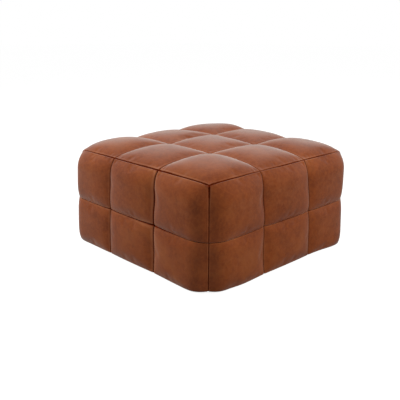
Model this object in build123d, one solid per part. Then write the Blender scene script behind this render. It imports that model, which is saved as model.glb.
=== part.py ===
"""Square box-tufted leather pouf: stitched squares over fibre pads, foam, webbing and a timber frame.

Millimetres, +Z up, origin on the floor under the middle, front towards -Y.
"""

from build123d import *
from collections import namedtuple
from math import cos, radians, sin
import os

# Outside of the cover
overall_width = 840.0
overall_depth = 840.0
overall_height = 400.0
column_names = ["left", "middle", "right"]
row_names = ["front", "centre", "back"]

# Leather squares: how far each seam lies below or inside the crown beside it
leather = 1.4
shoulder_drop = 30.0
corner_drop = 26.0
hem_drop = 20.0
side_channel_drop = 12.0
top_channel_drop = 14.0
centre_rise = 4.0
lower_row_height = 168.0
corner_slope = radians(45)
channel_slope = radians(30)
hem_slope = radians(60)
crown_slope = radians(4)
pull_strip_width = 80.0

# Filling
pad_depth = 39.0
pad_gap = 0.3
top_foam = 80.0
side_foam = 30.0
hessian = 1.0

# Webbing
strap_width = 50.0
strap_thickness = 1.2
strap_gap = 0.3
strap_setback = 6.0

# Timber frame
board = 5.0
post = 45.0
rail_thickness = 28.0
top_rail_height = 45.0
bottom_rail_height = 70.0
stretcher_height = 45.0
tenon_thickness = 14.0
tenon_length = 20.0
tenon_shoulder = 10.0
tenon_fit = 0.2

# Tufting ties: twine knotted through leather tabs
twine_radius = 1.5
knot_radius = 4.0
knot_height = 4.0
tab_width = 24.0
tab_thickness = 2.5
tie_clearance = 0.5

# Underside
dust_cover = 0.8
dust_cover_margin = 55.0
glide_height = 8.0
glide_radius = 16.0
glide_top_radius = 13.0
nail_radius = 2.0
nail_length = 22.0
nail_fit = 0.2

# Places worked out from the sizes above
half_x = overall_width / 2
half_y = overall_depth / 2
seam_x = half_x - shoulder_drop
seam_y = half_y - shoulder_drop
crown_z = overall_height - centre_rise
shoulder_z = crown_z - shoulder_drop
pitch_x = 2 * seam_x / len(column_names)
pitch_y = 2 * seam_y / len(row_names)
cover_base = glide_height + dust_cover
row_seam_z = cover_base + lower_row_height
frame_base = cover_base + leather
pad_base_z = crown_z - pad_depth
foam_x = half_x - pad_depth
foam_y = half_y - pad_depth
board_x = foam_x - side_foam
board_y = foam_y - side_foam
frame_x = board_x - board
frame_y = board_y - board
foam_base = pad_base_z - top_foam
weave = (strap_thickness + strap_gap) / 2
strap_z = foam_base - hessian - strap_gap - strap_thickness / 2 - weave
frame_top = strap_z - strap_thickness / 2
post_x = frame_x - post / 2
post_y = frame_y - post / 2
nail_tip = glide_height + nail_length

os.makedirs("parts", exist_ok=True)

# at: the seam's place across the panel; level: its height over the panel's plane;
# slope: how steeply the leather leaves it; mitred: the allowance turns in at 45 degrees
# to meet another panel's, not straight in
Seam = namedtuple("Seam", "at level slope mitred")
Square = namedtuple("Square", "columns rows crown")


def box_between(low, high):
    """Box with the two given opposite corners."""
    size = [b - a for a, b in zip(low, high)]
    return Pos(*low) * Box(*size, align=(Align.MIN, Align.MIN, Align.MIN))


def pin(centre, radius, bottom, top):
    """Slim upright bar or its hole, drawn with six flats to stay light."""
    return Pos(*centre, bottom) * extrude(RegularPolygon(radius, 6), top - bottom)


def save(name, shapes):
    """Write the solids of one node."""
    solids = [solid for shape in shapes for solid in shape.solids()]
    body = solids[0] if len(solids) == 1 else Compound(children=solids)
    export_step(body, f"parts/{name}.step")


# ---- Leather squares and their fibre pads ----


def section(seams, crown, back):
    """Outline across a square: straight back, a wall in from each seam, an arc up to the crown."""
    chain = []
    for seam, inward in zip(seams, (1, -1)):
        middle_slope = (seam.slope + crown_slope) / 2
        radius = (crown - seam.level) / (cos(crown_slope) - cos(seam.slope))
        foot = seam.at + inward * (seam.level + back) * seam.mitred
        knee = seam.at + inward * radius * (sin(seam.slope) - sin(crown_slope))
        half_way = (
            knee - inward * radius * (sin(middle_slope) - sin(crown_slope)),
            crown - radius * (cos(crown_slope) - cos(middle_slope)),
        )
        chain.append([(foot, -back), (seam.at, seam.level), half_way, (knee, crown)])
    low, high = chain
    return make_face(
        [
            Line(low[0], low[1]),
            ThreePointArc(low[1], low[2], low[3]),
            Line(low[3], high[3]),
            ThreePointArc(high[3], high[2], high[1]),
            Line(high[1], high[0]),
            Line(high[0], low[0]),
        ]
    )


def square_block(square, inset, back):
    """One square's space, inset from its face and walls, down to its back."""
    reach = 2 * max(abs(seam.at) for seam in square.columns + square.rows)
    blocks = []
    for plane, seams in ((Plane.XZ, square.columns), (Plane.YZ, square.rows)):
        face = section(seams, square.crown, back + inset)
        if inset:
            face = offset(face, -inset, kind=Kind.INTERSECTION)
        blocks.append(extrude(plane * face, reach, both=True))
    return blocks[0] & blocks[1]


def leather_square(square):
    """Leather over one square, its edges turned in along the seams."""
    return square_block(square, 0, pad_depth) - square_block(
        square, leather, pad_depth + leather
    )


def fibre_pad(square):
    """Fibre pad that fills one square of leather."""
    return square_block(square, leather + pad_gap, pad_depth)


def pairs(seams):
    """Neighbouring seams, two by two."""
    return list(zip(seams, seams[1:]))


def top_seams(half, pitch, names):
    """Seams across the top: the shoulder seams outside and the channels between."""
    channels = [
        Seam(-half + pitch * (i + 1), -top_channel_drop, channel_slope, False)
        for i in range(len(names) - 1)
    ]
    shoulders = [Seam(at, -shoulder_drop, corner_slope, True) for at in (-half, half)]
    return [shoulders[0], *channels, shoulders[1]]


def top_squares():
    """Name and square of each place in the top, the middle ones raised."""
    squares = {}
    for row, rows in zip(row_names, pairs(top_seams(seam_y, pitch_y, row_names))):
        for column, columns in zip(column_names, pairs(top_seams(seam_x, pitch_x, column_names))):
            inner = not any(seam.mitred for seam in columns + rows)
            squares[f"{row}_{column}"] = Square(columns, rows, centre_rise if inner else 0)
    return squares


def side_squares(half_length, pitch, names):
    """Squares of one side panel, seen from outside, two rows high."""
    corner = half_length - corner_drop
    channels = [
        Seam(pitch * (i + 1 - len(names) / 2), -side_channel_drop, channel_slope, False)
        for i in range(len(names) - 1)
    ]
    corners = [Seam(at, -corner_drop, corner_slope, True) for at in (-corner, corner)]
    columns = [corners[0], *channels, corners[1]]
    rows = [
        Seam(cover_base, -hem_drop, hem_slope, False),
        Seam(row_seam_z, -side_channel_drop, channel_slope, False),
        Seam(shoulder_z, -shoulder_drop, corner_slope, True),
    ]
    return [Square(c, r, 0) for r in pairs(rows) for c in pairs(columns)]


# Each side: plane of its crown seen from outside, half its length, its pitch and column names
sides = {
    "front": (Plane((0, -half_y, 0), x_dir=(1, 0, 0), z_dir=(0, -1, 0)), half_x, pitch_x, column_names),
    "back": (Plane((0, half_y, 0), x_dir=(-1, 0, 0), z_dir=(0, 1, 0)), half_x, pitch_x, column_names),
    "left": (Plane((-half_x, 0, 0), x_dir=(0, -1, 0), z_dir=(-1, 0, 0)), half_y, pitch_y, row_names),
    "right": (Plane((half_x, 0, 0), x_dir=(0, 1, 0), z_dir=(1, 0, 0)), half_y, pitch_y, row_names),
}
top_plane = Plane((0, 0, crown_z))


def build_cover():
    """Nine top squares one by one, each side's six squares together, and the pads inside."""
    squares = top_squares()
    for name, square in squares.items():
        save(f"top_square_{name}", [top_plane * leather_square(square)])
    save("top_pads", [top_plane * fibre_pad(square) for square in squares.values()])
    for side, (plane, half_length, pitch, names) in sides.items():
        squares = side_squares(half_length, pitch, names)
        save(f"{side}_squares", [plane * leather_square(square) for square in squares])
        save(f"{side}_pads", [plane * fibre_pad(square) for square in squares])


def pull_strip(half_length, half_across):
    """Leather strip under one bottom edge, mitred at the corners, sewn to the turned-in hem."""
    inner = half_across - pull_strip_width
    taper = half_length - pull_strip_width
    outline = [
        (-half_length, -half_across),
        (half_length, -half_across),
        (taper, -inner),
        (-taper, -inner),
    ]
    return Pos(0, 0, cover_base) * extrude(make_face(Polyline(*outline, close=True)), leather)


def build_pull_strips():
    """Four strips turned under the frame, pierced by the glides' nails."""
    holes = [nail(place, cover_base, frame_base, nail_fit) for place in post_places()]
    strips = [
        pull_strip(foam_x, foam_y),
        Rot(0, 0, 180) * pull_strip(foam_x, foam_y),
        Rot(0, 0, 90) * pull_strip(foam_y, foam_x),
        Rot(0, 0, -90) * pull_strip(foam_y, foam_x),
    ]
    for side, strip in zip(("front", "back", "right", "left"), strips):
        save(f"{side}_pull_strip", [strip - holes])


# ---- Tufting ties ----


def top_ties():
    """Places on the top where four squares meet."""
    columns = top_seams(seam_x, pitch_x, column_names)[1:-1]
    rows = top_seams(seam_y, pitch_y, row_names)[1:-1]
    return [(column.at, row.at) for column in columns for row in rows]


def side_ties(pitch, names):
    """Places on one side, across and up, where four squares meet."""
    return [(pitch * (i + 1 - len(names) / 2), row_seam_z) for i in range(len(names) - 1)]


def needle_hole(place, bottom, top):
    """Way that the needle leaves for a twine through cloth, foam or leather."""
    return pin(place, twine_radius + tie_clearance, bottom, top)


def tie_hole(place, bottom, top):
    """Room for a twine, with a wider mouth under the seam for its knot."""
    mouth = pin(place, knot_radius + tie_clearance, top - knot_height - tie_clearance, top)
    return mouth + needle_hole(place, bottom, top)


def tie(place, seat, top):
    """Twine knotted under the seam and again below the tab on its seat."""
    upper = pin(place, knot_radius, top - knot_height, top)
    end = seat - tab_thickness
    lower = pin(place, knot_radius, end - knot_height, end)
    return upper + pin(place, twine_radius, end, top) + lower


def tab(place, seat):
    """Square leather tab that spreads the pull of one twine."""
    bottom = seat - tab_thickness
    leaf = Pos(*place, bottom) * Box(
        tab_width, tab_width, tab_thickness, align=(Align.CENTER, Align.CENTER, Align.MIN)
    )
    return leaf - needle_hole(place, bottom, seat)


def build_ties():
    """Twines and tabs of the top and of the four sides."""
    top_seat = strap_z - weave - strap_thickness / 2
    twines = [tie(place, top_seat, pad_base_z) for place in top_ties()]
    tabs = [tab(place, top_seat) for place in top_ties()]
    side_seat = -(pad_depth + side_foam + board)
    for plane, _, pitch, names in sides.values():
        for place in side_ties(pitch, names):
            twines.append(plane * tie(place, side_seat, -pad_depth))
            tabs.append(plane * tab(place, side_seat))
    save("tufting_twines", twines)
    save("tufting_tabs", tabs)


# ---- Foam, hessian and webbing ----


def build_filling():
    """Top foam slab on its hessian, and a foam sheet and a board on each side."""
    holes = [tie_hole(place, foam_base, pad_base_z) for place in top_ties()]
    slab = box_between((-board_x, -board_y, foam_base), (board_x, board_y, pad_base_z))
    save("top_foam", [slab - holes])
    cloth = box_between(
        (-board_x, -board_y, foam_base - hessian), (board_x, board_y, foam_base)
    )
    pierced = [needle_hole(place, frame_top, foam_base) for place in top_ties()]
    save("hessian", [cloth - pierced])
    for side, (plane, _, pitch, names) in sides.items():
        across = side in ("front", "back")
        foam_half = foam_x if across else board_y
        board_half = board_x if across else frame_y
        back = -(pad_depth + side_foam)
        ties = side_ties(pitch, names)
        foam = box_between((-foam_half, frame_base, back), (foam_half, pad_base_z, -pad_depth))
        foam -= [tie_hole(place, back, -pad_depth) for place in ties]
        panel = box_between((-board_half, frame_base, back - board), (board_half, frame_top, back))
        panel -= [needle_hole(place, back - board, back) for place in ties]
        save(f"{side}_foam", [plane * foam])
        save(f"{side}_board", [plane * panel])


def strap(rail_face, pitch, count, first_over):
    """Strap along X, woven over and under its neighbours, flat on the rails at both ends."""
    flat = strap_width / 2 + strap_gap
    end = rail_face - strap_setback
    edge = rail_face - rail_thickness
    line = [(-end, 0), (-edge, 0)]
    for i in range(count):
        place = pitch / 2 * (i - (count - 1) / 2)
        level = weave if (i % 2 == 0) == first_over else -weave
        line += [(place - flat, level), (place + flat, level)]
    line += [(edge, 0), (end, 0)]
    rest = strap_thickness / 2
    upper = [(x, z + rest) for x, z in line]
    lower = [(x, z - rest) for x, z in reversed(line)]
    face = make_face(Polyline(*upper, *lower, close=True))
    return extrude(Plane.XZ * face, strap_width / 2, both=True)


def build_webbing():
    """Interlaced straps: one under each channel and one under the middle of each inner square."""
    lengthwise = 2 * len(row_names) - 1
    crosswise = 2 * len(column_names) - 1
    holes = [needle_hole(place, frame_top - 2 * weave, foam_base) for place in top_ties()]
    for i in range(lengthwise):
        y = pitch_y / 2 * (i - (lengthwise - 1) / 2)
        band = strap(frame_x, pitch_x, crosswise, i % 2 == 0)
        save(f"lengthwise_strap_{i + 1}", [Pos(0, y, strap_z) * band - holes])
    for i in range(crosswise):
        x = pitch_x / 2 * (i - (crosswise - 1) / 2)
        band = strap(frame_y, pitch_y, lengthwise, i % 2 == 1)
        save(f"crosswise_strap_{i + 1}", [Pos(x, 0, strap_z) * Rot(0, 0, 90) * band - holes])


# ---- Timber frame ----


def post_places():
    """Middle of each corner post, seen from above."""
    return [(x * post_x, y * post_y) for y in (-1, 1) for x in (-1, 1)]


def rail(half_length, height, grow=0.0):
    """Rail along X with a tenon at each end, its outer face on Y = 0 and its base on Z = 0."""
    bar = box_between((-half_length, 0, 0), (half_length, rail_thickness, height))
    cheek = (rail_thickness - tenon_thickness) / 2 - grow
    reach = half_length + tenon_length + grow
    tongue = box_between(
        (-reach, cheek, tenon_shoulder - grow),
        (reach, rail_thickness - cheek, height - tenon_shoulder + grow),
    )
    return bar + tongue


def framed_rails(grow=0.0):
    """All eight rails by name; grow widens the tenons to cut their mortises."""
    rails = {}
    levels = {
        "top": (frame_top - top_rail_height, top_rail_height),
        "bottom": (frame_base, bottom_rail_height),
    }
    for level, (base, height) in levels.items():
        long_rail = rail(frame_x - post, height, grow)
        short_rail = rail(frame_y - post, height, grow)
        rails[f"front_{level}_rail"] = Pos(0, -frame_y, base) * long_rail
        rails[f"back_{level}_rail"] = Pos(0, frame_y, base) * Rot(0, 0, 180) * long_rail
        rails[f"right_{level}_rail"] = Pos(frame_x, 0, base) * Rot(0, 0, 90) * short_rail
        rails[f"left_{level}_rail"] = Pos(-frame_x, 0, base) * Rot(0, 0, -90) * short_rail
    return rails


def stretcher(grow=0.0):
    """Bottom stretcher from front to back, tenoned into the rails."""
    bar = rail(frame_y - rail_thickness, stretcher_height, grow)
    return Pos(rail_thickness / 2, 0, frame_base) * Rot(0, 0, 90) * bar


def build_frame():
    """Four mortised posts, eight rails, the stretcher."""
    tongues = list(framed_rails(tenon_fit).values())
    for place in post_places():
        side = "left" if place[0] < 0 else "right"
        end = "front" if place[1] < 0 else "back"
        upright = Pos(*place, frame_base) * Box(
            post, post, frame_top - frame_base, align=(Align.CENTER, Align.CENTER, Align.MIN)
        )
        pilot = nail(place, frame_base, nail_tip + nail_fit, nail_fit)
        save(f"{end}_{side}_post", [upright - tongues - pilot])
    mortises = stretcher(tenon_fit)
    for name, bar in framed_rails().items():
        save(name, [bar - mortises if "bottom" in name else bar])
    save("bottom_stretcher", [stretcher()])


# ---- Underside ----


def nail(place, bottom, top, grow=0.0):
    """Nail of one glide between two heights; grow makes the room for it."""
    return pin(place, nail_radius + grow, bottom, top)


def glide(place):
    """Tapered nylon glide moulded on its nail."""
    foot = Cone(
        glide_radius,
        glide_top_radius,
        glide_height,
        align=(Align.CENTER, Align.CENTER, Align.MIN),
    )
    return Pos(*place) * foot + nail(place, glide_height, nail_tip)


def build_underside():
    """Dust cover and the four glides nailed through it."""
    edge_x = half_x - dust_cover_margin
    edge_y = half_y - dust_cover_margin
    cloth = box_between((-edge_x, -edge_y, glide_height), (edge_x, edge_y, cover_base))
    holes = [nail(place, glide_height, cover_base, nail_fit) for place in post_places()]
    save("dust_cover", [cloth - holes])
    save("glides", [glide(place) for place in post_places()])


build_cover()
build_pull_strips()
build_ties()
build_filling()
build_webbing()
build_frame()
build_underside()
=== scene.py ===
"""Looks of the square box-tufted leather pouf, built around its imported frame.

Metres, +Z up, origin on the floor under the middle, front towards -Y.
"""

import math
from functools import partial

import bpy
import numpy as np
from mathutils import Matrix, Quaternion, Vector


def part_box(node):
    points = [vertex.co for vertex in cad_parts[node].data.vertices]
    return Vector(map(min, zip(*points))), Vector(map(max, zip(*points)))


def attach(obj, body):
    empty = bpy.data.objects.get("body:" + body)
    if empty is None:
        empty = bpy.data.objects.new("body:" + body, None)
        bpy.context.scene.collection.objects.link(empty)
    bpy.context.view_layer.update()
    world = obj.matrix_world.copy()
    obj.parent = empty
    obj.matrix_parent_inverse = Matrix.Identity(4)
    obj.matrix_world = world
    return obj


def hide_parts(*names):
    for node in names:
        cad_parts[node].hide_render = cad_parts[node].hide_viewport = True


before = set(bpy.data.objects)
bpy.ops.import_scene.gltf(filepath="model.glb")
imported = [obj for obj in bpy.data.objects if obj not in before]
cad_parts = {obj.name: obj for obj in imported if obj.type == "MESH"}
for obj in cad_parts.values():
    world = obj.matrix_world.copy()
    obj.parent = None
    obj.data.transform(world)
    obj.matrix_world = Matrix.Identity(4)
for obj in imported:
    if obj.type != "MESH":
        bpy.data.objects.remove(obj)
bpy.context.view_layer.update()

# ---- Numbers: places from the frame, sizes, colours and stage ----

side_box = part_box("right_squares")
middle_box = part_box("top_square_front_middle")
corner_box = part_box("top_square_front_right")
centre_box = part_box("top_square_centre_middle")

# The leather's crowns stand a little proud of the plain solids, and its seams sit further in
half = side_box[1].x - 0.0155
shoulder_z = side_box[1].z + 0.005
tuft_z = middle_box[1].z - 0.002
crown_z = middle_box[1].z + 0.012
centre_rise = centre_box[1].z - middle_box[1].z
seam_half = corner_box[1].x - 0.014
channel = corner_box[0].x - 0.006
hem_half = 0.4005
hem_z = 0.003
row_z = 0.179

# How far the squares are puffed out, and how far they fall to each seam
side_puff = 0.011
corner_drop = 0.026
top_channel_drop = 0.004
side_channel_drop = 0.004
row_drop = 0.003
shoulder_inset = half - seam_half
hem_drop = half - hem_half

# Slopes of the leather where it meets a seam
shoulder_slope = math.radians(45)
corner_slope = math.radians(43)
hem_slope = math.radians(80)
channel_slope = math.radians(58)

# How full the squares are: over their middles, beside the shoulder seam and on the sides
dome_power = 2.8
shoulder_power = 4.5
side_power = 4.0

# Dip where four squares meet; groove and lip of a seam; allowance turned in behind it
tuft_dip = 0.005
tuft_reach = 0.020
groove_depth = 0.0030
groove_width = 0.0019
lip_height = 0.0008
lip_at = 0.0042
lip_width = 0.0022
allowance = 0.010
allowance_inset = 0.002
# Faces nearer a seam than edge_width get the darker seam material, painted shade
edge_width = 0.0022

# Depth of the core block that the seams' grooves and allowances point away from
core_depth = 0.060

# How the whole cover departs from a square block
corner_sag = 0.008
top_rounding = 0.015
base_rounding = 0.020
rounding_reach = 0.12
base_flare = 0.004
hem_lift = 0.002

# Where the hand-sewn cover sits a little off its even net: place and shift in millimetres
nudges = (
    ((-124, -124, 390), (10, 10, 0), 80),
    ((-124, 124, 390), (-1, 21, 4), 80),
    ((400, -124, 300), (-10, -13, 0), 85),
    ((370, 370, 375), (4, 4, 4), 80),
    ((-165, 325, 390), (0, 3, 13), 95),
    ((-330, 330, 395), (-2, 3, 4), 110),
    ((70, 320, 395), (0, 2, 4), 110),
    ((-330, 130, 390), (-2, 0, 4), 100),
    ((398, -310, 0), (-9, 0, 0), 48),
    ((400, 290, 0), (14, 0, 0), 80),
    ((-50, 405, 388), (0, 0, 4.5), 115),
    ((385, 385, 0), (-4, -12, 0), 70),
    ((124, -410, 290), (8, 10, 0), 85),
    ((124, -405, 80), (6, 5, 0), 100),
    ((-124, -410, 305), (4, 6, 0), 75),
    ((410, 124, 325), (-8, -10, 0), 85),
    ((405, -124, 90), (-6, -9, 0), 100),
    ((-400, -380, 300), (6, 4, 0), 65),
    ((-370, -370, 0), (-3, -3, 0), 90),
    ((-420, -380, 200), (6, 2, 0), 120),
    ((400, 400, 200), (-3, -4, 0), 120),
)

# Where seams are folded deeper, or lie flatter, with a wider or narrower band of painted shade:
# place in millimetres, added share, reach
folds = (
    ((124, -400, 270), 1.5, 110),
    ((-124, -400, 280), 0.8, 80),
    ((124, -405, 90), 1.0, 100),
    ((-124, -405, 90), 0.6, 90),
    ((400, -124, 290), -0.88, 95),
    ((400, 124, 300), -0.2, 90),
    ((400, 124, 80), -0.5, 90),
    ((390, -390, 230), -0.4, 110),
    ((390, -390, 60), -0.4, 90),
    ((-376, -376, 371), -0.6, 110),
    ((376, 376, 371), -0.6, 110),
    ((376, -376, 368), 1.2, 30),
    ((124, 400, 270), 0.8, 90),
    ((-400, 124, 270), 0.9, 90),
    ((-400, -124, 280), 0.5, 80),
)

# Cloth simulation of the leather between its seams
cloth_steps = 28
cloth_frames = 20
cloth_quality = 5
cloth_mass = 0.4
cloth_stretch = 30
cloth_shear = 15
cloth_bend = 8
cloth_pressure = 2.0
cloth_slack = 0.004
cloth_cap = 0.004

# Fibre pads: points along a side, what the seams leave of a square, gap under the leather
pad_steps = 14
pad_margin = 0.05
pad_inset = 0.012
pad_bulge = 0.009
pad_thinnest = 0.002

# Foam: the side sheets are shaved at their top and ends, and the slab at its edge
side_foam_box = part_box("front_foam")
slab_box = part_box("top_foam")
foam_face = -side_foam_box[0].y
board_face = -side_foam_box[1].y
foam_low = side_foam_box[0].z
foam_top = slab_box[1].z
foam_bottom = slab_box[0].z
foam_half = slab_box[1].x
foam_corner_drop = 0.019
foam_shave = 0.016
foam_edge_drop = 0.006
foam_gap = 0.0005
foam_steps = 28

# Pull strips: where the hem's turn ends across them, and the gathers of the leather
strip_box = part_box("front_pull_strip")
strip_inner = -strip_box[1].y
strip_z = strip_box[0].z
strip_rows = 12
strip_lift = 0.0004
strip_thickness = 0.0010
strip_turn = 0.22
gather_depth = 0.0003
gather_waves = 190

# Dust cover, drawn in at its staples, and its folded edge
cover_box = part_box("dust_cover")
cover_half = cover_box[1].x
cover_low, cover_high = cover_box[0].z, cover_box[1].z
cover_steps = 96
cover_pull = 0.0011
pull_reach = 0.006
fold_width = 0.014
fold_height = 0.0004
fold_edge = 0.0012
cover_ripple = 0.00012
staple_pitch = 0.038
staple_inset = 0.007
staple_length = 0.010
staple_wire = 0.0006

# Points along each side of a square of leather, and how closely they crowd to its seams
steps = 64
crowding = 0.8

column_names = ("left", "middle", "right")
row_names = ("front", "centre", "back")
side_names = ("front", "right", "back", "left")

# Linear colours of the leather, each set from dark to pale, and where the shades lie on a ramp
cognac_shades = [(0.158, 0.0280, 0.0031), (0.228, 0.047, 0.0062), (0.302, 0.080, 0.0150)]
# Darker browns for the faces inside the seams: painted shade in the grooves
painted_seam_shades = [(0.090, 0.0080, 0.0005), (0.145, 0.0150, 0.0010), (0.200, 0.0270, 0.0025)]
# Darker copy of the cover's browns for the strips turned under the base: painted shade
shaded_strip_shades = [(0.120, 0.026, 0.0050), (0.160, 0.038, 0.0080), (0.210, 0.058, 0.015)]
tan_shades = [(0.30, 0.16, 0.08), (0.36, 0.20, 0.10), (0.42, 0.25, 0.13)]
blotch_brown = (0.123, 0.026, 0.0045)
fleck_brown = (0.33, 0.083, 0.015)
worn_brown = (0.34, 0.115, 0.040)
# Painted highlight: paler brown on the lips beside the seams
lip_highlight_brown = (0.42, 0.150, 0.058)
# Painted shade: darker brown laid on the leather next to the seams, where the grooves are shaded
seam_shade_brown = (0.130, 0.0170, 0.0016)
shade_stops = (0.30, 0.52, 0.74)

# Steel wire of the staples
wire_shades = [(0.50, 0.50, 0.52), (0.62, 0.62, 0.63)]

# Stage: floor, lamps as name, place, size and power, and the camera
floor_size = 60
floor_shade = (0.40, 0.40, 0.40, 1)
floor_glow = 0.86
world_level = 0.34
lamps = (
    ("overhead", (-0.5, 0.3, 2.6), 2.4, 15),
    ("left", (-2.3, -1.9, 1.9), 1.4, 87),
    ("right", (2.5, 1.1, 2.0), 1.6, 57),
)
lamp_target = (0, 0, 0.2)
camera_target = (0, 0, 0.197)
camera_azimuth, camera_elevation, camera_roll = map(math.radians, (45.3, 16.1, 0.42))
camera_distance = 2.253
camera_focus = 552.2 / 400
camera_shift = (-10 / 400, -9 / 400)
sensor_width = 36


# ---- Shape of the cover ----


def arc_drop(distance, drop, slope):
    """Depth below the crown at a distance from a seam: an arc, steepest at the seam."""
    radius = drop / (1 - math.cos(slope))
    run = np.clip(radius * math.sin(slope) - distance, 0, None)
    return radius - np.sqrt(radius**2 - run**2)


def both(a, b):
    """Two drops that meet, blended without a crease."""
    return np.sqrt(a**2 + b**2)


def tuft(across, up):
    """Extra dip where four squares meet."""
    return tuft_dip * np.exp(-np.hypot(across, up) / tuft_reach)


def seam_rise(x):
    """Share of the tufts' height that the seams have reached at a distance from the middle."""
    return 1 - np.clip((abs(x) - channel) / (seam_half - channel), 0, 1) ** 3


def top_net(x, y):
    """Height of the net of seams that the top squares are drawn down to."""
    return shoulder_z + (tuft_z - shoulder_z) * seam_rise(x) * seam_rise(y)


def top_point(x, y):
    """Top panel without its filling."""
    columns = arc_drop(abs(abs(x) - channel), top_channel_drop, channel_slope) * seam_rise(y)
    rows = arc_drop(abs(abs(y) - channel), top_channel_drop, channel_slope) * seam_rise(x)
    z = top_net(x, y) - both(columns, rows) - tuft(abs(x) - channel, abs(y) - channel)
    return np.stack([x, y, z], -1)


def heights(up):
    """Drops of the shoulder, hem and row seam at a height on a side, the first two as shares."""
    shoulder = arc_drop(shoulder_z - up, shoulder_inset, shoulder_slope) / shoulder_inset
    hem = arc_drop(up - hem_z, hem_drop, hem_slope) / hem_drop
    row = arc_drop(abs(up - row_z), row_drop, channel_slope)
    return shoulder, hem, row


def corner_reach(up):
    """Half width of a side at a height: where its corner seam runs."""
    shoulder, hem, row = heights(up)
    return half - shoulder_inset * shoulder - hem_drop * hem - corner_drop * (1 - shoulder) - row


def side_point(along, up):
    """Front panel seen from outside: a depth for each place along it and height."""
    shoulder, hem, row = heights(up)
    corner = arc_drop(corner_reach(up) - abs(along), corner_drop, corner_slope)
    columns = arc_drop(abs(abs(along) - channel), side_channel_drop, channel_slope)
    depth = shoulder_inset * shoulder + hem_drop * hem + corner * (1 - shoulder)
    depth = depth + both(columns * (1 - shoulder**2), row)
    depth = depth + tuft(abs(along) - channel, up - row_z)
    return np.stack([along, depth - half, up], -1)


def settled(points):
    """Cover as it sits: corners rounded in plan, lifted at the base and low at the shoulder."""
    x, y, z = points[..., 0], points[..., 1], points[..., 2]
    inner = np.minimum(abs(x), abs(y))
    low = np.clip(1 - z / row_z, 0, 1)
    high = np.clip((z - row_z) / (shoulder_z - row_z), 0, 1) ** 2
    base_share = np.clip(1 - (half - inner) / rounding_reach, 0, 1)
    top_share = np.clip(1 - (seam_half - inner) / rounding_reach, 0, 1)
    rounding = base_rounding * low * base_share**2 + top_rounding * high * top_share**2
    flare = base_flare * low * (np.maximum(abs(x), abs(y)) / half) ** 4
    scale = 1 - (rounding - flare) / half
    lift = hem_lift * low * base_share**2 * (3 - 2 * base_share)
    sag = corner_sag * high * top_share**2
    return np.stack([x * scale, y * scale, z + lift - sag], -1)


def crowd(count):
    """Shares from 0 to 1, close together at both ends."""
    t = np.linspace(0, 1, count + 1)
    return t - crowding * np.sin(2 * math.pi * t) / (2 * math.pi)


def normals_of(points):
    """Unit outward normals of a grid of points."""
    n = np.cross(np.gradient(points, axis=0), np.gradient(points, axis=1))
    return n / np.linalg.norm(n, axis=-1, keepdims=True)


def outward(points):
    """Outward direction shared by the squares on both sides of a seam: that of a rounded block."""
    reach = half - core_depth
    low, high = [-reach, -reach, core_depth], [reach, reach, crown_z - core_depth]
    direction = points - np.clip(points, low, high)
    return direction / np.linalg.norm(direction, axis=-1, keepdims=True)


def edge_distance(points):
    """Distance of each grid point from the nearest edge of its square."""
    across = np.linalg.norm(np.diff(points, axis=0), axis=-1)
    up = np.linalg.norm(np.diff(points, axis=1), axis=-1)
    from_left = np.vstack([np.zeros(across.shape[1]), np.cumsum(across, axis=0)])
    from_low = np.hstack([np.zeros((up.shape[0], 1)), np.cumsum(up, axis=1)])
    sides = [from_left, from_left[-1:] - from_left, from_low, from_low[:, -1:] - from_low]
    return np.min(sides, axis=0)


def swell(u, low_power, high_power):
    """Share of a full puff across a square, fuller towards an edge with a higher power."""
    power = np.where(u < 0.5, low_power, high_power)
    return 1 - abs(2 * u - 1) ** power


def side_dome(u, v):
    """Dome of a side square."""
    return swell(u, side_power, side_power) * swell(v, side_power, side_power)


def top_dome(column, row, u, v):
    """Dome of a top square, fuller towards the shoulder seams."""
    share = 1
    for place, t in ((column, u), (row, v)):
        low = shoulder_power if place == 0 else dome_power
        high = shoulder_power if place == 2 else dome_power
        share = share * swell(t, low, high)
    return share


def seam_detail(distance, folded):
    """Groove at a seam and the lip beside it, outward positive."""
    width = groove_width * (1 + folded) / 2
    groove = -groove_depth * folded * np.exp(-((distance / width) ** 2))
    return groove + lip_height * np.exp(-(((distance - lip_at) / lip_width) ** 2))


def top_square(column, row, u, v):
    """Leather of one of the nine top squares, at shares u and v across it."""
    edges = [-seam_half, -channel, channel, seam_half]
    x = edges[column] + (edges[column + 1] - edges[column]) * u
    y = edges[row] + (edges[row + 1] - edges[row]) * v
    middle = [(edges[i] + edges[i + 1]) / 2 for i in (column, row)]
    rise = centre_rise if column == row == 1 else 0
    puff = (crown_z + rise - top_net(*middle)) * top_dome(column, row, u, v)
    return nudged(puffed(settled(top_point(x, y)), puff))


def side_square(column, row, u, v):
    """Leather of one of the six squares of the front panel."""
    levels = [hem_z, row_z, shoulder_z]
    up = levels[row] + (levels[row + 1] - levels[row]) * v
    reach = corner_reach(up)
    edges = [-reach, -channel, channel, reach]
    along = edges[column] + (edges[column + 1] - edges[column]) * u
    return puffed(settled(side_point(along, up)), side_puff * side_dome(u, v))


def puffed(points, puff):
    """Square pushed out from its seams by its filling."""
    return points + normals_of(points) * puff[..., None]


def nudged(points):
    """Points with the cover's small unevenness."""
    moved = points
    for place, shift, radius in nudges:
        moved = moved + nearness(points, place, radius)[..., None] * np.array(shift) / 1000
    return moved


def nearness(points, place, radius):
    """Share from 1 at a place, in millimetres, down to 0 well outside a radius."""
    reach = np.linalg.norm(points - np.array(place) / 1000, axis=-1)
    return np.exp(-((reach * 1000 / radius) ** 2))


def fold_share(points):
    """How deep the seams are folded at each point, 1 where nothing is added."""
    return 1 + sum(share * nearness(points, place, radius) for place, share, radius in folds)


def turned(points, quarter):
    """Points turned about the vertical by quarters."""
    angle = quarter * math.pi / 2
    c, s = round(math.cos(angle)), round(math.sin(angle))
    x, y, z = points[..., 0], points[..., 1], points[..., 2]
    return np.stack([c * x - s * y, s * x + c * y, z], -1)


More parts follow.
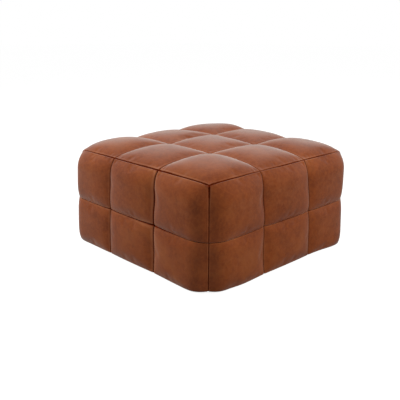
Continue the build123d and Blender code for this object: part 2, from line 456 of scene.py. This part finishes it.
def cover_squares():
    """Name of the panel, column, row and shape of every square of the cover."""
    squares = []
    for row in range(3):
        for column in range(3):
            squares.append(("top", column, row, partial(top_square, column, row)))
    for quarter, side in enumerate(side_names):
        for row in range(2):
            for column in range(3):
                squares.append((side, column, row, partial(turned_square, quarter, column, row)))
    return squares


def turned_square(quarter, column, row, u, v):
    """Square of one of the four sides."""
    return nudged(turned(side_square(column, row, u, v), quarter))


def spread(shares):
    """Grids of shares across and up a square."""
    return np.meshgrid(shares, shares, indexing="ij")


def grid_faces(shape, start=0):
    """Four-sided faces of a grid of points."""
    index = start + np.arange(shape[0] * shape[1]).reshape(shape)
    corners = [index[:-1, :-1], index[1:, :-1], index[1:, 1:], index[:-1, 1:]]
    return np.stack(corners, -1).reshape(-1, 4)


def block_faces(shape, start=0):
    """Faces of a closed block between a front grid and a back grid."""
    size = shape[0] * shape[1]
    index = start + np.arange(size).reshape(shape)
    ring = np.concatenate([index[:-1, 0], index[-1, :-1], index[:0:-1, -1], index[0, :0:-1]])
    following = np.roll(ring, -1)
    walls = np.stack([ring, ring + size, following + size, following], -1)
    front = grid_faces(shape, start)
    return np.concatenate([front, front[:, ::-1] + size, walls])


def simulate(squares):
    """Cloth simulation of all the leather between its seams; returns each square's movement."""
    count = cloth_steps + 1
    u, v = spread(np.linspace(0, 1, count))
    flat = np.concatenate([shape(u, v).reshape(-1, 3) for *_, shape in squares])
    starts = [i * count**2 for i in range(len(squares))]
    faces = np.concatenate([grid_faces((count, count), start) for start in starts])
    mesh = bpy.data.meshes.new("cloth")
    mesh.from_pydata(flat.tolist(), [], faces.tolist())
    cloth = bpy.data.objects.new("cloth", mesh)
    bpy.context.scene.collection.objects.link(cloth)
    border = np.zeros((count, count), bool)
    border[[0, -1], :] = border[:, [0, -1]] = True
    held = np.flatnonzero(np.tile(border.ravel(), len(squares)))
    cloth.vertex_groups.new(name="seams").add(held.tolist(), 1, "REPLACE")
    modifier = cloth.modifiers.new("cloth", "CLOTH")
    settings = modifier.settings
    settings.quality = cloth_quality
    settings.mass = cloth_mass
    settings.tension_stiffness = cloth_stretch
    settings.compression_stiffness = cloth_stretch
    settings.shear_stiffness = cloth_shear
    settings.bending_stiffness = cloth_bend
    settings.vertex_group_mass = "seams"
    settings.shrink_min = -cloth_slack
    settings.use_pressure = True
    settings.uniform_pressure_force = cloth_pressure
    settings.effector_weights.gravity = 0
    for frame_number in range(1, cloth_frames + 1):
        bpy.context.scene.frame_set(frame_number)
    settled_mesh = cloth.evaluated_get(bpy.context.evaluated_depsgraph_get()).data
    end = np.zeros(len(flat) * 3, np.float32)
    settled_mesh.vertices.foreach_get("co", end)
    bpy.data.objects.remove(cloth)
    bpy.context.scene.frame_set(1)
    moved = end.reshape(-1, 3) - flat
    length = np.linalg.norm(moved, axis=1, keepdims=True)
    moved = moved * np.minimum(1, cloth_cap / np.maximum(length, 1e-9))
    return moved.reshape(len(squares), count, count, 3)


def blend_weights(places, count):
    """Smooth cubic weights that carry values at even shares to other shares."""
    at = places * (count - 1)
    base = np.clip(np.floor(at).astype(int), 0, count - 2)
    t = at - base
    cubic = [
        -t / 2 + t**2 - t**3 / 2,
        1 - 5 * t**2 / 2 + 3 * t**3 / 2,
        t / 2 + 2 * t**2 - 3 * t**3 / 2,
        -(t**2) / 2 + t**3 / 2,
    ]
    weights = np.zeros((len(places), count))
    for offset, share in zip((-1, 0, 1, 2), cubic):
        np.add.at(weights, (np.arange(len(places)), np.clip(base + offset, 0, count - 1)), share)
    return weights


def finished_grid(shape, movement):
    """Fine grid of one square's leather with its seams drawn in and its allowance turned in."""
    shares = crowd(steps)
    points = shape(*spread(shares))
    weights = blend_weights(shares, cloth_steps + 1)
    points = points + np.einsum("ia,abc,jb->ijc", weights, movement, weights)
    out = outward(points)
    distance = edge_distance(points)
    folded = fold_share(points)
    points = points + out * seam_detail(distance, folded)[..., None]
    middle = points[steps // 2, steps // 2]
    inset = np.pad(points - out * allowance, ((1, 1), (1, 1), (0, 0)), mode="edge")
    inset = inset + (middle - inset) * allowance_inset
    ring = np.pad(points, ((1, 1), (1, 1), (0, 0)), mode="edge")
    inside = np.zeros(ring.shape[:2], bool)
    inside[1:-1, 1:-1] = True
    # Distance from the seam divided by the fold share: deeper folds get a wider band of painted
    # seam shade
    return np.where(inside[..., None], ring, inset), np.pad(distance / folded, 1, mode="edge")


def mesh_from_grids(name, grids):
    """Smooth mesh of grids with distances from their seams, which get its second material."""
    shape = grids[0][1].shape
    vertices = np.concatenate([points.reshape(-1, 3) for points, _ in grids])
    depths = np.concatenate([depth.ravel() for _, depth in grids])
    size = shape[0] * shape[1]
    faces = np.concatenate([grid_faces(shape, i * size) for i in range(len(grids))])
    piece = new_piece(name, vertices, faces)
    turned_in = np.zeros((shape[0] - 1, shape[1] - 1), bool)
    turned_in[[0, -1], :] = turned_in[:, [0, -1]] = True
    sharp = piece.data.attributes.new("sharp_face", "BOOLEAN", "FACE")
    sharp.data.foreach_set("value", np.tile(turned_in.ravel(), len(grids)))
    # Faces inside a seam get the second material, painted with the seams' shade
    near = np.stack([depth for _, depth in grids]) < edge_width
    inside_seam = near[:, 1:, 1:] & near[:, :-1, 1:] & near[:, 1:, :-1] & near[:, :-1, :-1]
    index = piece.data.attributes.new("material_index", "INT", "FACE")
    index.data.foreach_set("value", inside_seam.ravel().astype(np.int32))
    seam = piece.data.attributes.new("seam_distance", "FLOAT", "POINT")
    seam.data.foreach_set("value", depths.astype(np.float32))
    return piece


def mesh_from_blocks(name, blocks):
    """Smooth mesh of several closed blocks, each given as its front and back grids."""
    vertices, faces, start = [], [], 0
    for front, back in blocks:
        vertices += [front.reshape(-1, 3), back.reshape(-1, 3)]
        faces.append(block_faces(front.shape[:2], start))
        start += front.size // 3 + back.size // 3
    return new_piece(name, np.concatenate(vertices), np.concatenate(faces))


def new_piece(name, vertices, faces):
    """Smooth object from points and faces."""
    mesh = bpy.data.meshes.new(name)
    mesh.from_pydata(vertices.tolist(), [], faces.tolist())
    mesh.shade_smooth()
    piece = bpy.data.objects.new(name, mesh)
    bpy.context.scene.collection.objects.link(piece)
    return piece


def dress(piece, material, nodes):
    """Give a piece its finish and its place in the frame."""
    piece.data.materials.append(material)
    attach(piece, "root")
    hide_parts(*nodes)
    return piece


def build_cover(leather, edge):
    """Nine top squares one by one, and four sides of six squares."""
    squares = cover_squares()
    movements = simulate(squares)
    grids = {}
    for (panel, column, row, shape), movement in zip(squares, movements):
        place = f"{row_names[row]}_{column_names[column]}" if panel == "top" else panel
        grids.setdefault(place, []).append(finished_grid(shape, movement))
    for place, group in grids.items():
        piece = mesh_from_grids(f"{place}_leather", group)
        node = f"{place}_squares" if place in side_names else f"top_square_{place}"
        dress(piece, leather, [node])
        # Second material: painted shade inside the seams
        piece.data.materials.append(edge)


# ---- Filling ----


def foam_front(along):
    """Depth of a side foam's face at a place along the side, rounded off at the corners."""
    corner = foam_face - foam_corner_drop - abs(along)
    return foam_face - arc_drop(corner, foam_corner_drop, corner_slope)


def fibre_pad(panel, shape):
    """Loose-fibre pad behind one square of leather: its front and back grids."""
    shares = np.linspace(pad_margin, 1 - pad_margin, pad_steps)
    front = shape(*spread(shares))
    bulge = np.sqrt(np.outer(shares * (1 - shares), shares * (1 - shares))) * 4
    front = front - normals_of(front) * (pad_inset - pad_bulge * bulge)[..., None]
    back = front.copy()
    if panel == "top":
        back[..., 2] = foam_top
        return front, back
    quarter = side_names.index(panel)
    back = turned(back, -quarter)
    face = foam_front(back[..., 0])
    back[..., 1] = -np.minimum(face, -back[..., 1] - pad_thinnest)
    return front, turned(back, quarter)


def build_pads(fibre):
    """Fibre pads of the top and of each side."""
    blocks = {}
    for panel, _, _, shape in cover_squares():
        blocks.setdefault(panel, []).append(fibre_pad(panel, shape))
    for panel, group in blocks.items():
        piece = mesh_from_blocks(f"{panel}_fibre", group)
        dress(piece, fibre, [f"{panel}_pads"])


def side_foam(quarter):
    """Foam sheet on one side, shaved round at its ends and mitred there."""
    reach = foam_face - foam_corner_drop
    levels = np.linspace(foam_low, foam_top, foam_steps // 2)
    across, up = np.meshgrid(np.linspace(-1, 1, foam_steps + 1), levels, indexing="ij")
    along = across * reach
    shaved = arc_drop(foam_top - up, foam_shave, shoulder_slope)
    front = settled(np.stack([along, shaved - foam_front(along), up], -1))
    front[..., 2] = up
    back = np.stack([across * board_face, np.full_like(along, -board_face), up], -1)
    return turned(front, quarter), turned(back, quarter)


def top_foam():
    """Foam slab under the top pads, soft at its edges and drawn down at the tufts."""
    x, y = spread(np.linspace(-foam_half, foam_half, foam_steps * 2 + 1))
    edge = foam_half - np.maximum(abs(x), abs(y))
    sink = arc_drop(edge, foam_edge_drop, hem_slope) + tuft(abs(x) - channel, abs(y) - channel)
    front = np.stack([x, y, foam_top - foam_gap - sink], -1)
    back = np.stack([x, y, np.full_like(x, foam_bottom)], -1)
    return front, back


def build_foam(foam):
    """Foam slab and four foam sheets."""
    blocks = {"top": top_foam()}
    blocks.update({side: side_foam(quarter) for quarter, side in enumerate(side_names)})
    for panel, block in blocks.items():
        piece = mesh_from_blocks(f"{panel}_foam_block", [block])
        dress(piece, foam, [f"{panel}_foam"])


# ---- Underside ----


def side_hem_square(column, shares):
    """Bottom edge of one lower square, made with a row above it that gives it its normals."""
    u, v = np.meshgrid(shares, [0.0, 0.02], indexing="ij")
    return side_square(column, 0, u, v)[:, 0]


def pull_strip(quarter):
    """Leather turned under one bottom edge, mitred at its ends: its lower and upper faces."""
    shares = np.linspace(0, 1, steps // 2 + 1)
    runs = [side_hem_square(column, shares) for column in range(3)]
    hem = np.concatenate([runs[0], runs[1][1:], runs[2][1:]])
    hem = turned(nudged(turned(hem, quarter)), -quarter)
    inner_x = np.linspace(-strip_inner, strip_inner, len(hem))
    inner = np.stack([inner_x, np.full(len(hem), -strip_inner), hem[:, 2]], -1)
    inward = np.linspace(0, 1, strip_rows + 1)[None, :, None]
    lower = hem[:, None] * (1 - inward) + inner[:, None] * inward
    level = strip_z + strip_lift
    turn = np.clip(1 - inward[..., 0] / strip_turn, 0, 1) ** 2
    gathers = gather_depth * np.sin(hem[:, :1] * gather_waves) * np.sin(math.pi * inward[..., 0])
    lower[..., 2] = level + (hem[:, None, 2] - level) * turn - abs(gathers)
    upper = lower + [0, 0, strip_thickness]
    return turned(upper, quarter), turned(lower, quarter)


def dust_cover():
    """Cloth stretched under the frame, its edges folded in and drawn in between the staples."""
    x, y = spread(np.linspace(-cover_half, cover_half, cover_steps + 1))
    edge = cover_half - np.maximum(abs(x), abs(y))
    near = np.exp(-((edge / pull_reach) ** 2))
    run = np.where(abs(x) > abs(y), y, x)
    pull = cover_pull * near * (1 - np.cos(2 * math.pi * run / staple_pitch)) / 2
    scale = 1 - pull / cover_half
    single = 0.5 - 0.5 * np.tanh((fold_width - edge) / fold_edge)
    ripple = cover_ripple * np.sin(9 * x + 1) * np.sin(7 * y + 2)
    low = cover_low + (fold_height + ripple) * single
    bottom = np.stack([x * scale, y * scale, low], -1)
    top = np.stack([x * scale, y * scale, np.full_like(x, cover_high)], -1)
    return top, bottom


def staple(place, along):
    """Closed block of one staple's crown with its ends bent up into the cloth."""
    across = np.array([-along[1], along[0]])
    t = np.array([-1.0, -0.97, -0.85, 0.85, 0.97, 1.0])
    drop = np.array([0.0, -0.7, -1.0, -1.0, -0.7, 0.0]) * staple_wire
    rows = []
    for side in (-1, 1):
        centre = place + np.outer(t * staple_length / 2, along) + across * side * staple_wire
        rows.append(np.column_stack([centre, cover_low + drop]))
    lower = np.stack(rows, 1)
    upper = lower + [0, 0, staple_wire]
    return upper, lower


def build_staples(steel):
    """Row of staples along each edge of the dust cover."""
    line = cover_half - staple_inset
    count = int(line / staple_pitch)
    blocks = []
    for quarter in range(4):
        angle = quarter * math.pi / 2
        along = np.array([math.cos(angle), math.sin(angle)])
        away = np.array([along[1], -along[0]])
        for i in range(-count, count + 1):
            blocks.append(staple(away * line + along * i * staple_pitch, along))
    piece = mesh_from_blocks("dust_cover_staples", blocks)
    piece.data.materials.append(steel)
    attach(piece, "root")
    return piece


def build_underside(leather, cloth, steel):
    """Pull strips, dust cover and its staples."""
    for quarter, side in enumerate(side_names):
        block = pull_strip(quarter)
        piece = mesh_from_blocks(f"{side}_strip", [block])
        dress(piece, leather, [f"{side}_pull_strip"])
    block = dust_cover()
    piece = mesh_from_blocks("dust_cloth", [block])
    dress(piece, cloth, ["dust_cover"])
    staples = build_staples(steel)


# ---- Materials ----


def new_material(name):
    """Empty node material with its shader and output."""
    material = bpy.data.materials.new(name)
    material.use_nodes = True
    return material, material.node_tree, material.node_tree.nodes["Principled BSDF"]


def noise(tree, where, scale, detail=4.0, rough=0.55, distortion=0.0):
    """Noise texture over object coordinates."""
    node = tree.nodes.new("ShaderNodeTexNoise")
    node.inputs["Scale"].default_value = scale
    node.inputs["Detail"].default_value = detail
    node.inputs["Roughness"].default_value = rough
    node.inputs["Distortion"].default_value = distortion
    tree.links.new(where.outputs["Object"], node.inputs["Vector"])
    return node.outputs["Fac"]


def ramp(tree, value, stops):
    """Colour ramp over a value; stops are (place, (r, g, b))."""
    node = tree.nodes.new("ShaderNodeValToRGB")
    while len(node.color_ramp.elements) < len(stops):
        node.color_ramp.elements.new(0.5)
    for element, (place, colour) in zip(node.color_ramp.elements, stops):
        element.position = place
        element.color = (*colour, 1)
    tree.links.new(value, node.inputs["Fac"])
    return node.outputs["Color"]


def mix(tree, factor, a, b):
    """Mix of two colours, each a socket or a plain colour."""
    node = tree.nodes.new("ShaderNodeMix")
    node.data_type = "RGBA"
    for value, place in ((factor, 0), (a, 6), (b, 7)):
        if isinstance(value, bpy.types.NodeSocket):
            tree.links.new(value, node.inputs[place])
        elif place:
            node.inputs[place].default_value = (*value, 1)
        else:
            node.inputs[place].default_value = value
    return node.outputs[2]


def bump(tree, height, strength, distance, under=None):
    """Bump from a height, over another bump."""
    node = tree.nodes.new("ShaderNodeBump")
    node.inputs["Strength"].default_value = strength
    node.inputs["Distance"].default_value = distance
    tree.links.new(height, node.inputs["Height"])
    if under:
        tree.links.new(under, node.inputs["Normal"])
    return node.outputs["Normal"]


def maths(tree, how, a, b):
    """Two values put together."""
    node = tree.nodes.new("ShaderNodeMath")
    node.operation = how
    for value, place in ((a, 0), (b, 1)):
        if isinstance(value, bpy.types.NodeSocket):
            tree.links.new(value, node.inputs[place])
        else:
            node.inputs[place].default_value = value
    return node.outputs[0]


def between(tree, value, low, high):
    """Share from 0 to 1 of a value between two others."""
    node = tree.nodes.new("ShaderNodeMapRange")
    node.inputs["From Min"].default_value = low
    node.inputs["From Max"].default_value = high
    tree.links.new(value, node.inputs["Value"])
    return node.outputs["Result"]


def plain_finish(shader, rough, specular=0.5, sheen=0.0):
    """Numbers that are the same all over a surface."""
    shader.inputs["Roughness"].default_value = rough
    shader.inputs["Specular IOR Level"].default_value = specular
    shader.inputs["Sheen Weight"].default_value = sheen


def leather_material(name, shades, wear_share=0.0):
    """Pull-up leather: cloudy with fine grain; where it wears, paler crowns, with a painted
    highlight beside the seams and painted shade in them.
    """
    material, tree, shader = new_material(name)
    where = tree.nodes.new("ShaderNodeTexCoord")
    clouds = noise(tree, where, scale=6, detail=6, rough=0.62, distortion=0.8)
    colour = ramp(tree, clouds, list(zip(shade_stops, shades)))
    blotches = noise(tree, where, scale=23, detail=4, rough=0.6, distortion=1.2)
    colour = layer(tree, between(tree, blotches, 0.35, 0.75), 0.42, colour, blotch_brown)
    flecks = noise(tree, where, scale=95, detail=5, rough=0.65, distortion=0.6)
    colour = layer(tree, between(tree, flecks, 0.42, 0.62), 0.32, colour, fleck_brown)
    # Crown wear, plus the painted highlight and painted shade at the seams
    if wear_share:
        colour = wear_highlight_and_shade_colour(tree, where, clouds, colour, wear_share)
    tree.links.new(colour, shader.inputs["Base Color"])
    polish = noise(tree, where, scale=11, detail=5, rough=0.6, distortion=0.5)
    rough = tree.nodes.new("ShaderNodeMapRange")
    rough.inputs["To Min"].default_value = 0.40
    rough.inputs["To Max"].default_value = 0.60
    tree.links.new(polish, rough.inputs["Value"])
    tree.links.new(rough.outputs["Result"], shader.inputs["Roughness"])
    shader.inputs["Specular IOR Level"].default_value = 0.22
    shader.inputs["Sheen Weight"].default_value = 0.55
    shader.inputs["Sheen Roughness"].default_value = 0.31
    shader.inputs["Sheen Tint"].default_value = (0.93, 1.0, 0.97, 1)
    grain = cells(tree, where, scale=650)
    normal = bump(tree, grain, strength=0.25, distance=0.0003)
    creases = noise(tree, where, scale=260, detail=4, rough=0.6)
    normal = bump(tree, creases, strength=0.20, distance=0.0008, under=normal)
    tree.links.new(normal, shader.inputs["Normal"])
    return material


def layer(tree, mask, strength, under, colour):
    """Colour laid over another where a mask is, at a strength."""
    return mix(tree, maths(tree, "MULTIPLY", mask, strength), under, colour)


def wear_highlight_and_shade_colour(tree, where, clouds, colour, wear_share):
    """Leather's colour, rubbed paler on the crowns, with a painted highlight beside the seams and
    painted shade in them.
    """
    seam = tree.nodes.new("ShaderNodeAttribute")
    seam.attribute_name = "seam_distance"
    distance = seam.outputs["Fac"]
    crown = between(tree, distance, 0.03, 0.12)
    scuffs = noise(tree, where, scale=40, detail=7, rough=0.7, distortion=0.4)
    wear = maths(tree, "MULTIPLY", crown, between(tree, scuffs, 0.42, 0.68))
    colour = layer(tree, wear, wear_share, colour, worn_brown)
    # Painted highlight: a paler band a few millimetres from each seam
    lip_highlight = between(tree, distance, 0.0090, 0.0040)
    lip_highlight = maths(tree, "MULTIPLY", lip_highlight, between(tree, clouds, 0.35, 0.60))
    colour = layer(tree, lip_highlight, 0.45, colour, lip_highlight_brown)
    # Painted shade: the leather darkens towards each seam
    seam_shade = between(tree, distance, 0.0042, 0.0)
    return layer(tree, seam_shade, 0.90, colour, seam_shade_brown)


def seam_shade_material():
    """Dull, dark leather inside the seams: painted shade in the grooves, with no sheen."""
    material, tree, shader = new_material("seam_leather")
    where = tree.nodes.new("ShaderNodeTexCoord")
    mottle = noise(tree, where, scale=90, detail=4, rough=0.6)
    colour = ramp(tree, mottle, list(zip(shade_stops, painted_seam_shades)))
    tree.links.new(colour, shader.inputs["Base Color"])
    grain = noise(tree, where, scale=500, detail=4, rough=0.6)
    tree.links.new(bump(tree, grain, strength=0.3, distance=0.0003), shader.inputs["Normal"])
    plain_finish(shader, rough=0.85, specular=0.05)
    return material


def cells(tree, where, scale):
    """Distance to the nearest of scattered cells."""
    node = tree.nodes.new("ShaderNodeTexVoronoi")
    node.inputs["Scale"].default_value = scale
    tree.links.new(where.outputs["Object"], node.inputs["Vector"])
    return node.outputs["Distance"]


def stretched_noise(tree, where, scale, stretch, detail, rough):
    """Noise drawn out along one axis."""
    mapping = tree.nodes.new("ShaderNodeMapping")
    mapping.inputs["Scale"].default_value = stretch
    tree.links.new(where.outputs["Object"], mapping.inputs["Vector"])
    node = tree.nodes.new("ShaderNodeTexNoise")
    node.inputs["Scale"].default_value = scale
    node.inputs["Detail"].default_value = detail
    node.inputs["Roughness"].default_value = rough
    tree.links.new(mapping.outputs["Vector"], node.inputs["Vector"])
    return node.outputs["Fac"]


def waves(tree, where, axis, scale, wobble):
    """Uneven waves across one axis."""
    node = tree.nodes.new("ShaderNodeTexWave")
    node.bands_direction = axis
    node.inputs["Scale"].default_value = scale
    node.inputs["Distortion"].default_value = wobble
    tree.links.new(where.outputs["Object"], node.inputs["Vector"])
    return node.outputs["Fac"]


def woven_material(name, shades, pitch, rough):
    """Plain weave: threads both ways, uneven in thickness and tone, with painted shade in the gaps
    between them.
    """
    material, tree, shader = new_material(name)
    where = tree.nodes.new("ShaderNodeTexCoord")
    count = 2 * math.pi / (20 * pitch)
    warp = waves(tree, where, "X", scale=count, wobble=0.6)
    weft = waves(tree, where, "Y", scale=count, wobble=0.6)
    threads = maths(tree, "MAXIMUM", warp, weft)
    slubs = stretched_noise(tree, where, scale=60, stretch=(1, 8, 1), detail=5, rough=0.7)
    base = ramp(tree, slubs, [(0.3, shades[0]), (0.7, shades[1])])
    # Painted shade: gaps between the threads go to the third, darkest colour
    gap_shade = between(tree, threads, 0.55, 0.2)
    tree.links.new(mix(tree, gap_shade, base, shades[2]), shader.inputs["Base Color"])
    normal = bump(tree, threads, strength=0.6, distance=0.0006)
    normal = bump(tree, slubs, strength=0.3, distance=0.0004, under=normal)
    tree.links.new(normal, shader.inputs["Normal"])
    plain_finish(shader, rough, specular=0.2, sheen=0.15)
    return material


def timber_material(name, shades, grain):
    """Sawn softwood or veneer: growth lines along the grain, fine pores, a few darker streaks."""
    material, tree, shader = new_material(name)
    where = tree.nodes.new("ShaderNodeTexCoord")
    lines = stretched_noise(tree, where, scale=55, stretch=grain, detail=8, rough=0.65)
    broad = stretched_noise(tree, where, scale=9, stretch=grain, detail=3, rough=0.5)
    base = ramp(tree, lines, [(0.32, shades[0]), (0.68, shades[1])])
    streaks = between(tree, broad, 0.55, 0.75)
    streaks = maths(tree, "MULTIPLY", streaks, 0.5)
    tree.links.new(mix(tree, streaks, base, shades[2]), shader.inputs["Base Color"])
    normal = bump(tree, lines, strength=0.35, distance=0.0006)
    fine = stretched_noise(tree, where, scale=300, stretch=grain, detail=3, rough=0.6)
    normal = bump(tree, fine, strength=0.25, distance=0.0003, under=normal)
    tree.links.new(normal, shader.inputs["Normal"])
    plain_finish(shader, rough=0.65, specular=0.4)
    return material


def foam_material():
    """Open-cell foam, cream, a little yellowed in patches, with painted shade in its pores."""
    material, tree, shader = new_material("seat_foam")
    where = tree.nodes.new("ShaderNodeTexCoord")
    patches = noise(tree, where, scale=7, detail=4, rough=0.6)
    base = ramp(tree, patches, [(0.35, (0.62, 0.53, 0.34)), (0.7, (0.71, 0.64, 0.47))])
    pores = cells(tree, where, scale=700)
    # Painted shade: the pores are darkened
    pore_shade = maths(tree, "MULTIPLY", between(tree, pores, 0.5, 0.1), 0.3)
    tree.links.new(mix(tree, pore_shade, base, (0.40, 0.33, 0.20)), shader.inputs["Base Color"])
    tree.links.new(bump(tree, pores, strength=0.6, distance=0.0008), shader.inputs["Normal"])
    plain_finish(shader, rough=0.9, specular=0.2, sheen=0.1)
    return material


def fibre_material():
    """Polyester wadding: white tangled strands."""
    material, tree, shader = new_material("fibre_wadding")
    where = tree.nodes.new("ShaderNodeTexCoord")
    strands = noise(tree, where, scale=180, detail=8, rough=0.75, distortion=3.0)
    tufts = noise(tree, where, scale=30, detail=5, rough=0.6, distortion=1.0)
    base = ramp(tree, strands, [(0.35, (0.60, 0.60, 0.58)), (0.65, (0.80, 0.80, 0.78))])
    tree.links.new(base, shader.inputs["Base Color"])
    normal = bump(tree, tufts, strength=0.5, distance=0.004)
    normal = bump(tree, strands, strength=0.5, distance=0.001, under=normal)
    tree.links.new(normal, shader.inputs["Normal"])
    plain_finish(shader, rough=0.95, specular=0.1, sheen=0.4)
    return material


def twine_material():
    """Waxed twine, laid in strands round each length, painted darker between the strands as shade.
    """
    material, tree, shader = new_material("waxed_twine")
    where = tree.nodes.new("ShaderNodeTexCoord")
    lay = waves(tree, where, "DIAGONAL", scale=140, wobble=1.5)
    # Painted shade: darker in the grooves between the strands
    base = ramp(tree, lay, [(0.2, (0.30, 0.21, 0.11)), (0.8, (0.55, 0.44, 0.28))])
    tree.links.new(base, shader.inputs["Base Color"])
    tree.links.new(bump(tree, lay, strength=0.6, distance=0.0005), shader.inputs["Normal"])
    plain_finish(shader, rough=0.5, specular=0.5)
    return material


def cloth_material():
    """Black non-woven cloth: pressed fibres with a faint dot embossing."""
    material, tree, shader = new_material("black_dust_cloth")
    where = tree.nodes.new("ShaderNodeTexCoord")
    strands = noise(tree, where, scale=220, detail=8, rough=0.75, distortion=2.5)
    blacks = [(0.35, (0.012, 0.012, 0.013)), (0.7, (0.040, 0.040, 0.042))]
    base = ramp(tree, strands, blacks)
    tree.links.new(base, shader.inputs["Base Color"])
    dots = cells(tree, where, scale=420)
    normal = bump(tree, dots, strength=0.4, distance=0.0004)
    normal = bump(tree, strands, strength=0.4, distance=0.0005, under=normal)
    tree.links.new(normal, shader.inputs["Normal"])
    plain_finish(shader, rough=0.85, specular=0.3, sheen=0.2)
    return material


def moulded_material(name, shades, rough, metallic=0.0):
    """Moulded nylon or drawn wire: faint mottling and a fine matt texture."""
    material, tree, shader = new_material(name)
    where = tree.nodes.new("ShaderNodeTexCoord")
    mottle = noise(tree, where, scale=45, detail=5, rough=0.6)
    base = ramp(tree, mottle, [(0.35, shades[0]), (0.65, shades[1])])
    tree.links.new(base, shader.inputs["Base Color"])
    texture = noise(tree, where, scale=900, detail=3)
    tree.links.new(bump(tree, texture, strength=0.2, distance=0.0002), shader.inputs["Normal"])
    plain_finish(shader, rough, specular=0.5)
    shader.inputs["Metallic"].default_value = metallic
    return material


def finish_nodes():
    """Procedural materials for the CAD nodes that keep their shape."""
    pine = [(0.42, 0.26, 0.12), (0.60, 0.42, 0.22), (0.33, 0.19, 0.08)]
    ply = [(0.50, 0.36, 0.20), (0.66, 0.51, 0.32), (0.42, 0.28, 0.14)]
    # Jute browns; the third, near black, is painted shade in the gaps of the weave
    jute = [(0.28, 0.19, 0.09), (0.42, 0.31, 0.17), (0.07, 0.045, 0.02)]
    nylon = [(0.018, 0.016, 0.015), (0.030, 0.027, 0.025)]
    along_x, along_y, along_z = (0.06, 1, 1), (1, 0.06, 1), (1, 1, 0.06)
    across, beside = ("front", "back"), ("left", "right")
    posts = [f"{a}_{b}_post" for a in across for b in beside]
    straps = [f"{way}_strap_{i}" for way in ("lengthwise", "crosswise") for i in range(1, 6)]
    finishes = [
        (timber_material("birch_ply_x", ply, along_x), [f"{side}_board" for side in across]),
        (timber_material("birch_ply_y", ply, along_y), [f"{side}_board" for side in beside]),
        (timber_material("pine_x", pine, along_x), rails(across)),
        (timber_material("pine_y", pine, along_y), rails(beside) + ["bottom_stretcher"]),
        (timber_material("pine_z", pine, along_z), posts),
        (woven_material("jute_webbing", jute, pitch=0.0022, rough=0.85), straps),
        (woven_material("jute_hessian", jute, pitch=0.0015, rough=0.9), ["hessian"]),
        (twine_material(), ["tufting_twines"]),
        (leather_material("tab_hide", tan_shades), ["tufting_tabs"]),
        (moulded_material("dark_nylon", nylon, rough=0.45), ["glides"]),
    ]
    for material, names in finishes:
        for name in names:
            for material_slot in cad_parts[name].material_slots:
                material_slot.material = material


def rails(sides):
    """Names of the top and bottom rails on some sides."""
    return [f"{side}_{level}_rail" for side in sides for level in ("top", "bottom")]


# ---- Stage ----


def white_for_camera(tree, mirrored=True):
    """1 for rays from the camera, glass or mirrors, and 0 for light that falls on the object."""
    rays = tree.nodes.new("ShaderNodeLightPath").outputs
    seen = maths(tree, "MAXIMUM", rays["Is Camera Ray"], rays["Is Transmission Ray"])
    return maths(tree, "MAXIMUM", seen, rays["Is Glossy Ray"]) if mirrored else seen


def build_floor():
    """Plain white floor that keeps a faint shadow."""
    bpy.ops.mesh.primitive_plane_add(size=floor_size)
    floor = bpy.context.object
    floor.name = "floor"
    material, tree, shader = new_material("floor_white")
    shader.inputs["Base Color"].default_value = floor_shade
    shader.inputs["Roughness"].default_value = 1.0
    shader.inputs["Specular IOR Level"].default_value = 0.0
    glow = tree.nodes.new("ShaderNodeEmission")
    level = maths(tree, "MULTIPLY", white_for_camera(tree, mirrored=False), floor_glow)
    tree.links.new(level, glow.inputs["Strength"])
    added = tree.nodes.new("ShaderNodeAddShader")
    tree.links.new(shader.outputs["BSDF"], added.inputs[0])
    tree.links.new(glow.outputs["Emission"], added.inputs[1])
    tree.links.new(added.outputs["Shader"], tree.nodes["Material Output"].inputs["Surface"])
    floor.data.materials.append(material)


def area_light(name, place, size, power):
    """Soft square lamp aimed at the middle of the pouf, not seen by the camera or in the sheen."""
    lamp = bpy.data.lights.new(name, "AREA")
    lamp.size = size
    lamp.energy = power
    holder = bpy.data.objects.new(name, lamp)
    holder.location = place
    holder.visible_camera = False
    holder.visible_glossy = False
    aim = Vector(lamp_target) - holder.location
    holder.rotation_mode = "QUATERNION"
    holder.rotation_quaternion = aim.to_track_quat("-Z", "Y")
    bpy.context.scene.collection.objects.link(holder)


def build_lights():
    """Soft studio light: a dim, wide lamp above, one to the left and one to the right."""
    world = bpy.data.worlds.new("studio")
    bpy.context.scene.world = world
    world.use_nodes = True
    tree = world.node_tree
    background = tree.nodes["Background"]
    background.inputs["Color"].default_value = (1, 1, 1, 1)
    level = maths(tree, "MAXIMUM", white_for_camera(tree), world_level)
    tree.links.new(level, background.inputs["Strength"])
    for lamp in lamps:
        area_light(*lamp)


def build_camera():
    """Camera in front of the right front corner, a little above the pouf and looking down at it."""
    data = bpy.data.cameras.new("camera")
    data.sensor_width = sensor_width
    data.lens = camera_focus * sensor_width
    data.shift_x, data.shift_y = camera_shift
    camera = bpy.data.objects.new("camera", data)
    back = Vector((
        math.sin(camera_azimuth) * math.cos(camera_elevation),
        -math.cos(camera_azimuth) * math.cos(camera_elevation),
        math.sin(camera_elevation),
    ))
    camera.location = Vector(camera_target) + back * camera_distance
    camera.rotation_mode = "QUATERNION"
    level = (-back).to_track_quat("-Z", "Y")
    camera.rotation_quaternion = level @ Quaternion((0, 0, 1), camera_roll)
    bpy.context.scene.collection.objects.link(camera)
    bpy.context.scene.camera = camera


build_cover(leather_material("cognac_leather", cognac_shades, wear_share=0.30), seam_shade_material())
build_pads(fibre_material())
build_foam(foam_material())
build_underside(
    leather_material("strip_leather_hide", shaded_strip_shades),
    cloth_material(),
    moulded_material("staple_steel", wire_shades, rough=0.35, metallic=1.0),
)
finish_nodes()
build_floor()
build_lights()
build_camera()
bpy.context.scene.view_settings.view_transform = "Standard"
